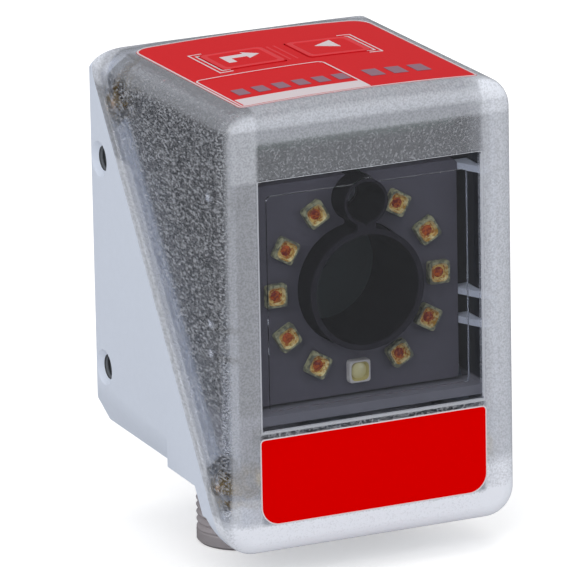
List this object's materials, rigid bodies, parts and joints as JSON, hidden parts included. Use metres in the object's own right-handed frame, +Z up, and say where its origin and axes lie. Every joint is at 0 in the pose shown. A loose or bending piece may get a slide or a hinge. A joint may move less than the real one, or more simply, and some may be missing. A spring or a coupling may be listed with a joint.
{
  "type": "fixed barcode reader",
  "caption": "Compact fixed barcode reader: clear hood with lamp ring and camera tube on a cast rear housing, two keys on top, two round connectors below.",
  "frame": {"origin": "Middle of the reader in width and depth, at the height of the lower ends of the two round connectors.", "axes": "+Z is up along the reader, from the connectors to the keys. The window faces -Y. +X is to the right seen from the window."},
  "size_m": [0.0424, 0.0432, 0.0656],
  "materials": {
    "cast_paint": "satin",
    "clear_hood": "frosted clear",
    "seal_rubber": "matte",
    "steel": "satin",
    "brass": "bright",
    "red_foil": "satin",
    "label_red": "matte",
    "lamp_board": "matte",
    "lamp_gold": "bright",
    "lamp_white": "bright",
    "lamp_clear": "clear",
    "black_plastic": "matte",
    "grey_plate": "matte",
    "lens_glass": "polished",
    "sensor": "polished",
    "green_board": "satin",
    "carrier_plastic": "matte",
    "chip": "matte",
    "ribbon": "satin",
    "connector_metal": "nickel plated",
    "insert_plastic": "matte"
  },
  "bodies": {
    "reader": {"rear_housing": "cast_paint", "front_hood": "clear_hood", "hood_seal": "seal_rubber", "hood_screws": "steel", "thread_inserts": "brass", "top_foil": "red_foil", "front_label": "label_red", "lamp_board": "lamp_board", "white_lamp": "lamp_white", "lens_tube": "black_plastic", "aperture_plate": "grey_plate", "lens_barrel": "black_plastic", "front_lens": "lens_glass", "lens_holder": "black_plastic", "image_sensor": "sensor", "sensor_board": "green_board", "aiming_lamp": "lamp_clear", "light_shield": "carrier_plastic", "board_carrier": "carrier_plastic", "carrier_screws": "steel", "main_board": "green_board", "board_chips": "chip", "flex_ribbon": "ribbon", "indicator_board": "green_board", "enter_switch": "carrier_plastic", "down_switch": "carrier_plastic", "power_shell": "connector_metal", "power_insert": "insert_plastic", "power_pins": "brass", "power_seal": "seal_rubber", "network_shell": "connector_metal", "network_insert": "insert_plastic", "network_contacts": "brass", "network_seal": "seal_rubber", "connector_clamp": "steel", "clamp_screws": "steel", "connector_board": "green_board", "red_lamp_1": "lamp_gold", "red_lamp_2": "lamp_gold", "red_lamp_3": "lamp_gold", "red_lamp_4": "lamp_gold", "red_lamp_5": "lamp_gold", "red_lamp_6": "lamp_gold", "red_lamp_7": "lamp_gold", "red_lamp_8": "lamp_gold", "red_lamp_9": "lamp_gold", "red_lamp_10": "lamp_gold", "status_lamp_1": "lamp_clear", "status_lamp_2": "lamp_clear", "status_lamp_3": "lamp_clear", "status_lamp_4": "lamp_clear", "status_lamp_5": "lamp_clear", "status_lamp_6": "lamp_clear", "status_lamp_7": "lamp_clear", "status_lamp_8": "lamp_clear", "status_lamp_9": "lamp_clear"},
    "enter_key": {"enter_key": "red_foil"},
    "down_key": {"down_key": "red_foil"}
  },
  "joints": [
    {"name": "enter_key_press", "type": "slide", "parent": "reader", "child": "enter_key", "axis": [0, 0, -1], "range_m": [0, 0.0003], "stiffness_N_per_m": 1500},
    {"name": "down_key_press", "type": "slide", "parent": "reader", "child": "down_key", "axis": [0, 0, -1], "range_m": [0, 0.0003], "stiffness_N_per_m": 1500}
  ]
}
